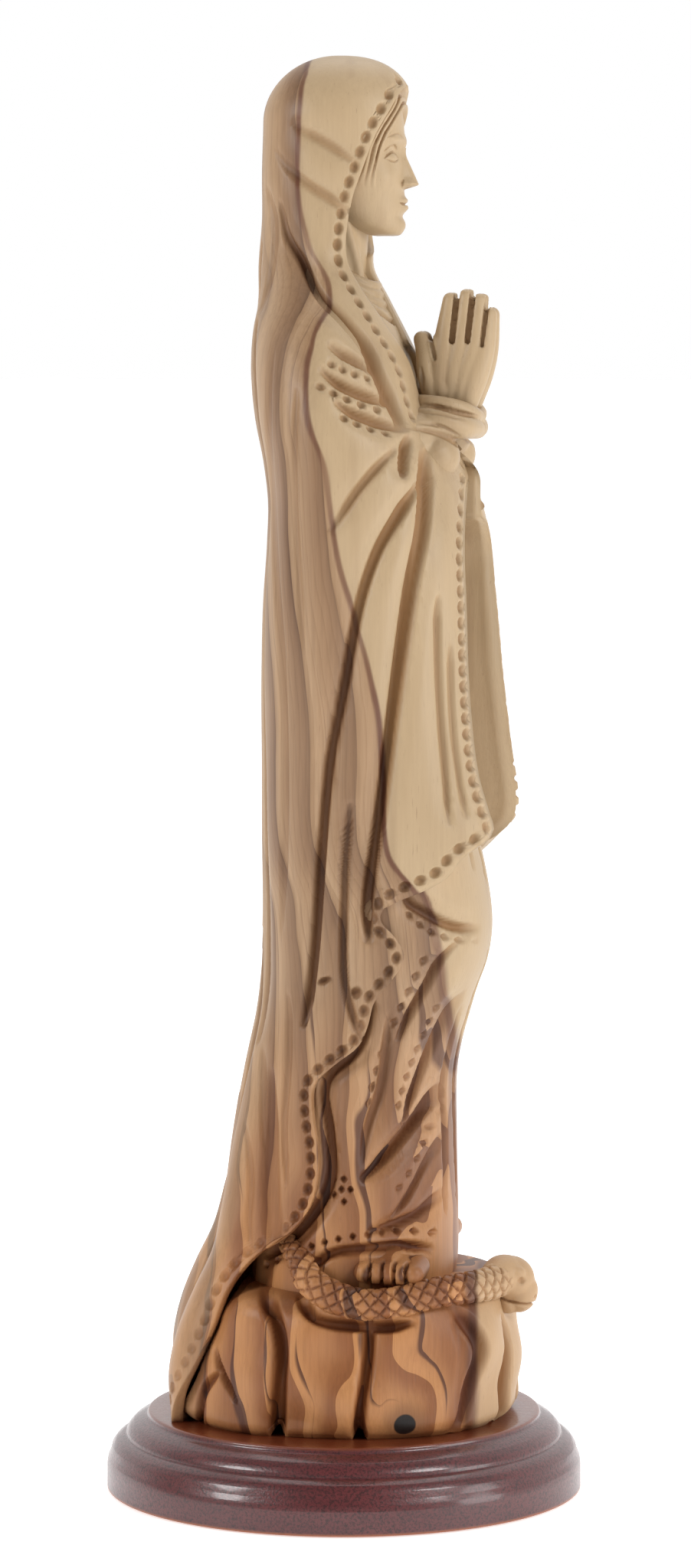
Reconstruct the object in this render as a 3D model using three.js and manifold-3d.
// A carved olive-wood Madonna on a turned, stained base.
//
// The carving is one block: veil, mantle, tunic, praying hands, foot, serpent and
// rock are all cut from it. The base is turned separately and held by two wood
// screws driven from below, and a felt disc in a shallow recess covers the screws.
//
// Millimetres, +Z up. The origin is the middle of the felt's underside, so the
// statue stands on z = 0. The figure faces -Y and its right hand is on the -X side.

import * as THREE from "three";
import { mergeVertices } from "three/addons/utils/BufferGeometryUtils.js";
import Module from "manifold-3d";

const wasm = await Module();
wasm.setup();

// ---- Driving dimensions ----------------------------------------------------

const FIGURE_HEIGHT = 283.4; // from the foot of the rock to the top of the veil
const FIGURE_WIDTH = 71; // across the foot of the rock
const FIGURE_DEPTH = 75; // front to back at the foot of the rock

const BASE_HEIGHT = 16.3; // wood only
const TOP_LAND = 3.5; // flat rim left showing round the rock
const MOULDING_WIDTH = 9; // from the top land's edge out to the rim
const RIM_HEIGHT = 5.4; // plain upright band at the bottom of the base

const FELT_BORDER = 6; // bare wood left round the felt
const FELT_THICKNESS = 1.5;
const FELT_RECESS = 1.2; // depth of the pocket that the felt lies in
const FELT_CLEARANCE = 0.5;

const SCREW_LENGTH = 32;
const SCREW_RADIUS = 2; // over the thread
const SCREW_CORE_RADIUS = 1.4;
const SCREW_PITCH = 1.8;
const SCREW_HEAD_RADIUS = 4;
const SCREW_HEAD_HEIGHT = 2.6;
const SCREW_SPACING = 34; // centre to centre, along Y
const SCREW_POCKET = 1.2; // head face below the recess's ceiling
const SCREW_CLEARANCE = 0.3;
const DRIVE_SLOT_WIDTH = 1.1;
const DRIVE_SLOT_DEPTH = 1.5;

const BOOLEAN_MARGIN = 1; // how far a cutting tool runs past the face it opens

// ---- Places that follow from them ------------------------------------------

const RIM_BOTTOM = FELT_THICKNESS - FELT_RECESS;
const RECESS_CEILING = FELT_THICKNESS;
const BASE_TOP = RIM_BOTTOM + BASE_HEIGHT;
const TOP_RADIUS = Math.max(FIGURE_WIDTH, FIGURE_DEPTH) / 2 + TOP_LAND;
const BASE_RADIUS = TOP_RADIUS + MOULDING_WIDTH;
const FELT_RADIUS = BASE_RADIUS - FELT_BORDER;
const SCREW_HEAD_Z = RECESS_CEILING + SCREW_POCKET;
const SCREW_TIP_Z = SCREW_HEAD_Z + SCREW_LENGTH;

// The carving is drawn on a figure of these sizes and then scaled to the ones above.
const DRAWN = { width: 71, depth: 75, height: 283.4, foot: 16.6 };

// ---- Materials ---------------------------------------------------------------

const oliveWood = new THREE.MeshStandardMaterial({ color: 0xcba272, roughness: 0.42, metalness: 0 });
const stainedWood = new THREE.MeshStandardMaterial({ color: 0x4a2219, roughness: 0.3, metalness: 0 });
const zincSteel = new THREE.MeshStandardMaterial({ color: 0xb9b39c, roughness: 0.35, metalness: 1 });
const greenFelt = new THREE.MeshStandardMaterial({ color: 0x2c4433, roughness: 0.95, metalness: 0 });

// ---- Solids from geometries ----------------------------------------------------

// The geometry as a manifold-3d solid, with its shared vertices merged.
function solid(geometry) {
  const bare = geometry.clone();
  bare.deleteAttribute("normal");
  bare.deleteAttribute("uv");
  const merged = mergeVertices(bare, 1e-4);
  return new wasm.Manifold(
    new wasm.Mesh({
      numProp: 3,
      vertProperties: merged.attributes.position.array,
      triVerts: new Uint32Array(merged.index.array),
    }),
  );
}

// A manifold-3d solid as a three.js geometry.
function geometryOf(made) {
  const mesh = made.getMesh();
  const geometry = new THREE.BufferGeometry();
  geometry.setAttribute("position", new THREE.BufferAttribute(mesh.vertProperties, mesh.numProp));
  geometry.setIndex(new THREE.BufferAttribute(mesh.triVerts, 1));
  geometry.computeVertexNormals();
  return geometry;
}

const union = (parts) => parts.reduce((sum, part) => sum.add(part));

// A body turned about Z from a profile of [radius, z] points, listed from the bottom up.
function turned(profile, around) {
  const points = profile.map(([radius, z]) => new THREE.Vector2(radius, z));
  return new THREE.LatheGeometry(points, around).rotateX(Math.PI / 2);
}

const signedPower = (value, power) => Math.sign(value) * Math.abs(value) ** power;

// A closed, smooth body through a list of level cross-sections, from the bottom up.
// Each section is [z, centre x, centre y, half-width x, half-depth y, squareness].
function stack(sections, rings, around, relief = () => 1) {
  const centres = new THREE.CatmullRomCurve3(sections.map(([z, x, y]) => new THREE.Vector3(x, y, z)));
  const halves = new THREE.CatmullRomCurve3(
    sections.map(([, , , halfX, halfY, squareness]) => new THREE.Vector3(halfX, halfY, squareness)),
  );
  const body = new THREE.CylinderGeometry(1, 1, 1, around, rings);
  const place = body.attributes.position;
  for (let i = 0; i < place.count; i++) {
    const share = Math.min(1, Math.max(0, place.getY(i) + 0.5));
    const reach = Math.hypot(place.getX(i), place.getZ(i));
    const angle = Math.atan2(-place.getZ(i), place.getX(i));
    const centre = centres.getPoint(share);
    const half = halves.getPoint(share);
    const out = reach < 0.5 ? 0 : relief(angle, centre.z);
    place.setXYZ(
      i,
      centre.x + out * half.x * signedPower(Math.cos(angle), 2 / half.z),
      centre.y + out * half.y * signedPower(Math.sin(angle), 2 / half.z),
      centre.z,
    );
  }
  return solid(body);
}

// A round-ended rod from one point to another.
function rod(from, to, radius, around = 10) {
  const a = new THREE.Vector3(...from);
  const b = new THREE.Vector3(...to);
  const along = b.clone().sub(a);
  const body = new THREE.CapsuleGeometry(radius, along.length(), 2, around);
  const turn = new THREE.Quaternion().setFromUnitVectors(new THREE.Vector3(0, 1, 0), along.normalize());
  body.applyQuaternion(turn);
  const middle = a.add(b).multiplyScalar(0.5);
  return solid(body.translate(middle.x, middle.y, middle.z));
}

// A ball stretched to its own half-widths, turned about X and put in place.
function ball(middle, halfWidths, tilt = 0, around = 16) {
  const body = new THREE.SphereGeometry(1, around, Math.round(around * 0.6));
  body.scale(...halfWidths).rotateX(tilt);
  return solid(body.translate(...middle));
}

// ---- The carved figure ----------------------------------------------------------

// Turns an outline drawn flat so that it lies in Y and Z and is thick along X.
const drawnInYZ = new THREE.Matrix4().set(0, 0, 1, 0, 1, 0, 0, 0, 0, 1, 0, 0, 0, 0, 0, 1);

// How deep a run of carved furrows cuts at an angle round the body, from 0 to 1.
function furrow(angle, count, phase, sharpness) {
  return Math.abs(Math.cos((angle * count) / 2 + phase)) ** sharpness;
}

// The rock: a squat drum cut into upright blocks by deep grooves.
function carveRock() {
  const sections = [
    [16.6, 0, 0, 35.5, 37.5, 2.3],
    [20, 0, 0, 36, 37.5, 2.3],
    [30, 0, -0.3, 35.8, 37, 2.3],
    [39, 0, -0.5, 34.8, 36, 2.2],
    [44, 0, -0.5, 32.5, 33.5, 2.1],
    [47, 0, -0.5, 27, 28, 2],
  ];
  return stack(sections, 7, 55, (angle, z) => 1 - (z > 18 ? 0.06 : 0.04) * furrow(angle, 11, 0.4, 14));
}

// The tunic, from its hem on the rock up to the neck.
function carveTunic() {
  const sections = [
    [42, 0, 3, 30, 30, 2.1],
    [50, 0, 2, 30, 27.5, 2.1],
    [58, 0, 1, 29, 25.5, 2.1],
    [70, 0, 0, 28, 24.5, 2.1],
    [85, 0, -1.5, 27.5, 23.2, 2.1],
    [97, 0, -3.5, 28, 22.7, 2.1],
    [110, 0, -6, 29, 23.8, 2.1],
    [120, 0, -7.2, 29.5, 24.4, 2.1],
    [132, 0, -6.6, 30, 23.5, 2.1],
    [150, 0, -4.5, 31, 21.3, 2.2],
    [170, 0, -3.3, 32, 19.8, 2.2],
    [190, 0, -3, 32.8, 19, 2.2],
    [205, 0, -3, 33.5, 18.2, 2.2],
    [220, 0, -1, 33.5, 18, 2.2],
    [232, 0, 1, 32, 18, 2.2],
    [242, 0, 2.5, 27.5, 16.3, 2.2],
    [250, 0, 3.6, 20.5, 14, 2.1],
    [256, 0, 4.2, 15.5, 12.8, 2],
    [264, 0, 4.5, 12.5, 12, 2],
  ];
  // Broad folds in front, from the knee down.
  const folds = (angle, z) =>
    0.05 * Math.max(0, -Math.sin(angle)) * furrow(angle, 12, z / 60, 5) * Math.max(0, Math.min(1, (135 - z) / 30));
  return stack(sections, 22, 44, (angle, z) => 1 - folds(angle, z));
}

// The mantle: a second layer over the body, open in front along a winding hem.
function carveMantle() {
  const sections = [
    [16.6, 0, 2, 32, 35.5, 2.1],
    [34, 0, 2, 33, 35.5, 2.1],
    [46, 0, 1, 32, 30.5, 2.1],
    [58, 0, 0, 31, 27, 2.1],
    [74, 0, -1, 30.2, 25, 2.1],
    [90, 0, -2, 30, 23.6, 2.1],
    [105, 0, -4.5, 30.8, 23.6, 2.1],
    [120, 0, -5.5, 31.6, 24.2, 2.2],
    [140, 0, -4, 32.4, 22.4, 2.2],
    [165, 0, -2.5, 33.6, 20.8, 2.2],
    [190, 0, -2, 34.4, 19.4, 2.2],
    [208, 0, -1.8, 34.8, 18.8, 2.2],
    [222, 0, -0.4, 34.6, 19, 2.2],
    [233, 0, 1.2, 33, 19, 2.2],
    [242, 0, 2.8, 28.5, 17, 2.2],
    [250, 0, 4.2, 21.5, 14.6, 2.1],
    [258, 0, 5, 16, 13, 2],
  ];
  const hem = [
    [36, 15],
    [28, 33],
    [21, 48],
    [7, 61],
    [2, 72],
    [2, 89],
    [-9, 97],
    [-12, 107],
    [-17, 116],
    [-13, 128],
    [-14, 205],
    [-17, 226],
    [-5, 260],
    [-5, 270],
  ];
  const beyond = DRAWN.width + 2 * BOOLEAN_MARGIN; // clear of the figure on every side
  const opening = new THREE.Shape(hem.map(([y, z]) => new THREE.Vector2(y, z)));
  opening.lineTo(-beyond, hem.at(-1)[1]);
  opening.lineTo(-beyond, DRAWN.foot - BOOLEAN_MARGIN);
  const front = new THREE.ExtrudeGeometry(opening, { depth: beyond, bevelEnabled: false });
  const cutter = solid(front.applyMatrix4(drawnInYZ).translate(-beyond / 2, 0, 0));
  const folds = (angle) => 0.04 * Math.max(0, Math.sin(angle)) * furrow(angle, 18, 0, 6);
  return stack(sections, 22, 40, (angle) => 1 - folds(angle)).subtract(cutter);
}

// The mantle's train, which sweeps out behind and comes down on the base.
function carveTrain() {
  const half = (side, reach) =>
    stack(
      [
        [16.6, side * 9, 30, 8, 6 + reach * 0.3, 2],
        [24, side * 11, 28, 10, 8 + reach, 2],
        [34, side * 12, 25, 12, 9 + reach, 2],
        [46, side * 12, 19, 14, 10 + reach * 0.7, 2],
        [62, side * 12, 12, 15, 12 + reach * 0.4, 2],
        [82, side * 12, 6, 14, 13, 2],
        [104, side * 11, 3, 12, 12, 2],
      ],
      10,
      18,
    );
  return half(-1, 0).add(half(1, 3));
}

// Mantle panels that hang from the forearms, each a slab with a slanting hem.
function carveFall(side) {
  const panel = stack(
    [
      [122, side * 20, -17, 11.5, 14.5, 2.3],
      [140, side * 20, -15.5, 11.8, 15, 2.3],
      [160, side * 20.5, -13.5, 12, 14.8, 2.3],
      [185, side * 21.5, -12, 12, 14.6, 2.3],
      [205, side * 21.5, -11, 12.3, 15, 2.3],
      [218, side * 20, -9, 13, 15.5, 2.3],
      [226, side * 18, -6, 12, 13, 2.2],
    ],
    9,
    20,
  );
  const hemSlope = 0.61; // the hem rises towards the front
  const hemMiddle = [0, -14.5, 128];
  const beyond = DRAWN.width + 2 * BOOLEAN_MARGIN; // clear of the panel on every side
  const below = new THREE.BoxGeometry(beyond, beyond, beyond).translate(0, 0, -beyond / 2);
  return panel.subtract(solid(below.rotateX(-hemSlope).translate(...hemMiddle)));
}

// Upper arm and forearm under the cloth, and the two turned-back cuffs at the wrist.
function carveArm(side) {
  const shoulder = [side * 22, 3, 238];
  const elbow = [side * 27, 0, 216];
  const wrist = [side * 5, -21, 223.5];
  const cuff = (z, radius, thickness) => {
    const ring = new THREE.TorusGeometry(radius, thickness, 6, 14);
    return solid(ring.scale(0.85, 1, 1.2).rotateX(0.12).translate(side * 3.5, -22.5, z));
  };
  return union([
    rod(shoulder, elbow, 8, 14),
    rod(elbow, wrist, 6.5, 14),
    rod([side * 4, -22.5, 218], [side * 3.2, -22.7, 228], 6, 12),
    cuff(227.3, 5.8, 1.7),
    cuff(222.8, 6, 1.9),
  ]);
}

// A praying hand: a palm with four straight fingers and a thumb, fingertips up.
function carveHand(side) {
  const outline = new THREE.Shape();
  outline.moveTo(-17, 227);
  outline.lineTo(-28.2, 227);
  outline.quadraticCurveTo(-30.5, 236, -31.6, 243);
  outline.lineTo(-20.6, 243);
  outline.quadraticCurveTo(-18.5, 238, -17, 227);
  const palm = new THREE.ExtrudeGeometry(outline, {
    depth: 2.2,
    steps: 1,
    curveSegments: 4,
    bevelThickness: 0.9,
    bevelSize: 0.9,
    bevelSegments: 2,
  });
  palm.applyMatrix4(drawnInYZ).translate(side < 0 ? -3.3 : 1.1, 0, 0);
  const fingers = [
    [-21.8, -22.6, 250.1],
    [-24.9, -26, 250.5],
    [-28, -28.9, 249.8],
    [-30.8, -31.5, 246.8],
  ];
  const straight = fingers.map(([root, tip, top]) => rod([side * 2.2, root, 240], [side * 1.6, tip, top], 1.5, 8));
  return union([solid(palm), ...straight, rod([side * 2, -17.8, 231], [side * 1.8, -17.9, 241.6], 1.8, 8)]);
}

// The veiled head: a hood open in front, and inside it the face, neck and hair.
function carveHead() {
  const hood = stack(
    [
      [248, 0, 6, 17, 12.5, 2.1],
      [256, 0, 6.6, 14.6, 10.6, 2.1],
      [264, 0, 6.6, 13.7, 10.2, 2.1],
      [272, 0, 5.6, 13.8, 11, 2.1],
      [280, 0, 4.2, 13.9, 12.3, 2.1],
      [287, 0, 2.3, 13.3, 13.6, 2.1],
      [293, 0, 0.8, 11.2, 13, 2],
      [297.5, 0, 0.2, 7.6, 10, 2],
      [300, 0, 0, 2.5, 3.5, 2],
    ],
    13,
    26,
  );
  return union([
    hood,
    ball([0, -0.8, 280.5], [9.6, 11.4, 13.2], 0, 18),
    ball([0, -4, 272], [7.6, 8.4, 9.2], 0, 14),
    rod([0, 2, 250], [0, 0.5, 270], 5.4, 12),
    ball([0, -11.4, 275.6], [1.3, 2.2, 3.6], -0.25, 10),
    ball([0, -9.2, 266.2], [3, 2.2, 2.2], 0, 10),
  ]);
}

// The toes of a bare foot that comes out from under the tunic's hem.
function carveFoot(side) {
  const toes = [0, 1, 2, 3, 4].map((i) => {
    const y = -19.2 + i * 2.6;
    return rod([side * 24, y, 49.6 - i * 0.15], [side * (31.2 - i * 0.5), y, 48.6 - i * 0.15], 1.5 - i * 0.08, 7);
  });
  return union([ball([side * 20, -13.5, 50.5], [11, 7.5, 3.6], 0, 12), ...toes]);
}

// The serpent: its body winds out from the hem, under the foot and round to the
// front, where the head rests on the rock. A short tail shows on the other side.
function carveSerpent() {
  const tube = (points, radius) => {
    const route = new THREE.CatmullRomCurve3(points.map((p) => new THREE.Vector3(...p)));
    const section = new THREE.Shape().absarc(0, 0, radius, 0, Math.PI * 2);
    return solid(
      new THREE.ExtrudeGeometry(section, {
        steps: 20,
        curveSegments: 4,
        bevelEnabled: false,
        extrudePath: route,
      }),
    );
  };
  const body = [
    [-24, -3, 53],
    [-30, 1, 51.5],
    [-33, 0, 48.4],
    [-34, -6, 46],
    [-33, -13, 45.6],
    [-29.5, -21, 45.8],
    [-23, -28, 46],
    [-14, -32.5, 46],
    [-5, -34, 46],
  ];
  const tail = [
    [27, -10, 48],
    [31, -3, 46.5],
    [30.5, 5, 46],
    [26, 11, 47],
  ];
  return union([
    tube(body, 3.6),
    tube(tail, 2.4),
    ball([-3.5, -36, 45.6], [4.6, 6, 4.8], 0.5, 14),
  ]);
}

const pilotRadius = SCREW_RADIUS + SCREW_CLEARANCE;
const screwPlaces = { front: -SCREW_SPACING / 2, back: SCREW_SPACING / 2 };

function carvedFigure() {
  const carved = union([
    carveRock(),
    carveTunic(),
    carveMantle(),
    carveTrain(),
    carveFall(-1),
    carveFall(1),
    carveArm(-1),
    carveArm(1),
    carveHand(-1),
    carveHand(1),
    carveHead(),
    carveFoot(-1),
    carveFoot(1),
    carveSerpent(),
  ]);
  const figure = geometryOf(carved);
  figure.translate(0, 0, -DRAWN.foot);
  figure.scale(FIGURE_WIDTH / DRAWN.width, FIGURE_DEPTH / DRAWN.depth, FIGURE_HEIGHT / DRAWN.height);
  figure.translate(0, 0, BASE_TOP);
  const pilots = Object.values(screwPlaces).map((y) => {
    const depth = SCREW_TIP_Z + SCREW_CLEARANCE - BASE_TOP + BOOLEAN_MARGIN;
    const hole = new THREE.CylinderGeometry(pilotRadius, pilotRadius, depth, 16).rotateX(Math.PI / 2);
    return solid(hole.translate(0, y, BASE_TOP - BOOLEAN_MARGIN + depth / 2));
  });
  return geometryOf(pilots.reduce((left, pilot) => left.subtract(pilot), solid(figure)));
}

// ---- The turned base ---------------------------------------------------------------

// One rounded step of the moulding, from the outside of a tread up and in to the next.
function roundedStep(radius, z, width, rise) {
  const points = [];
  for (let i = 0; i <= 4; i++) {
    const turn = (i / 4) * (Math.PI / 2);
    points.push([radius - width * (1 - Math.cos(turn)), z + rise * Math.sin(turn)]);
  }
  return points;
}

function turnedBase() {
  const topEdge = 0.8; // upright edge of the top land
  const treads = (BASE_HEIGHT - RIM_HEIGHT - topEdge) / 2;
  const shelf = MOULDING_WIDTH * 0.12; // small flat between two rounded steps
  const stepWidth = MOULDING_WIDTH / 2 - shelf;
  const firstTread = RIM_BOTTOM + RIM_HEIGHT;
  const profile = [
    [0, RIM_BOTTOM],
    [BASE_RADIUS, RIM_BOTTOM],
    ...roundedStep(BASE_RADIUS, firstTread, stepWidth, treads),
    ...roundedStep(BASE_RADIUS - stepWidth - shelf, firstTread + treads, stepWidth, treads),
    [TOP_RADIUS, firstTread + 2 * treads],
    [TOP_RADIUS, BASE_TOP],
    [0, BASE_TOP],
  ];
  const recessRadius = FELT_RADIUS + FELT_CLEARANCE;
  const recess = turned(
    [
      [0, RIM_BOTTOM - BOOLEAN_MARGIN],
      [recessRadius, RIM_BOTTOM - BOOLEAN_MARGIN],
      [recessRadius, RECESS_CEILING],
      [0, RECESS_CEILING],
    ],
    64,
  );
  const seat = turned(
    [
      [0, RECESS_CEILING - BOOLEAN_MARGIN],
      [SCREW_HEAD_RADIUS + SCREW_CLEARANCE, RECESS_CEILING - BOOLEAN_MARGIN],
      [SCREW_HEAD_RADIUS + SCREW_CLEARANCE, SCREW_HEAD_Z],
      [pilotRadius, SCREW_HEAD_Z + SCREW_HEAD_HEIGHT],
      [pilotRadius, BASE_TOP + BOOLEAN_MARGIN],
      [0, BASE_TOP + BOOLEAN_MARGIN],
    ],
    16,
  );
  const seats = Object.values(screwPlaces).map((y) => solid(seat.clone().translate(0, y, 0)));
  const blank = solid(turned(profile, 64)).subtract(solid(recess));
  return geometryOf(seats.reduce((left, hole) => left.subtract(hole), blank));
}

// ---- The screws and the felt ----------------------------------------------------------

// A countersunk cross-head wood screw, head down, with its threads as rings.
function woodScrew() {
  const profile = [
    [0, 0],
    [SCREW_HEAD_RADIUS - SCREW_CLEARANCE, 0],
    [SCREW_RADIUS - SCREW_CLEARANCE, SCREW_HEAD_HEIGHT - SCREW_CLEARANCE],
  ];
  const pointLength = SCREW_PITCH * 2;
  const threadStart = SCREW_HEAD_HEIGHT + SCREW_PITCH;
  const turns = Math.floor((SCREW_LENGTH - pointLength - threadStart) / SCREW_PITCH);
  for (let i = 0; i < turns; i++) {
    const z = threadStart + i * SCREW_PITCH;
    profile.push([SCREW_CORE_RADIUS, z]);
    profile.push([SCREW_RADIUS, z + SCREW_PITCH / 2]);
  }
  profile.push([SCREW_CORE_RADIUS, threadStart + turns * SCREW_PITCH]);
  profile.push([0, SCREW_LENGTH]);
  const arms = [0, Math.PI / 2].map((turn) => {
    const arm = new THREE.BoxGeometry(SCREW_HEAD_RADIUS * 1.2, DRIVE_SLOT_WIDTH, DRIVE_SLOT_DEPTH * 2);
    return solid(arm.rotateZ(turn));
  });
  return geometryOf(arms.reduce((left, arm) => left.subtract(arm), solid(turned(profile, 10))));
}

function feltDisc() {
  const profile = [
    [0, 0],
    [FELT_RADIUS, 0],
    [FELT_RADIUS, FELT_THICKNESS],
    [0, FELT_THICKNESS],
  ];
  return turned(profile, 64);
}

// ---- The assembly ------------------------------------------------------------------------

const statue = new THREE.Group();

function add(name, geometry, material) {
  const mesh = new THREE.Mesh(geometry, material);
  mesh.name = name;
  statue.add(mesh);
  return mesh;
}

add("carved_figure", carvedFigure(), oliveWood);
add("turned_base", turnedBase(), stainedWood);
add("base_felt", feltDisc(), greenFelt);
for (const [place, y] of Object.entries(screwPlaces)) {
  add(`fixing_screw_${place}`, woodScrew(), zincSteel).position.set(0, y, SCREW_HEAD_Z);
}

export default statue;
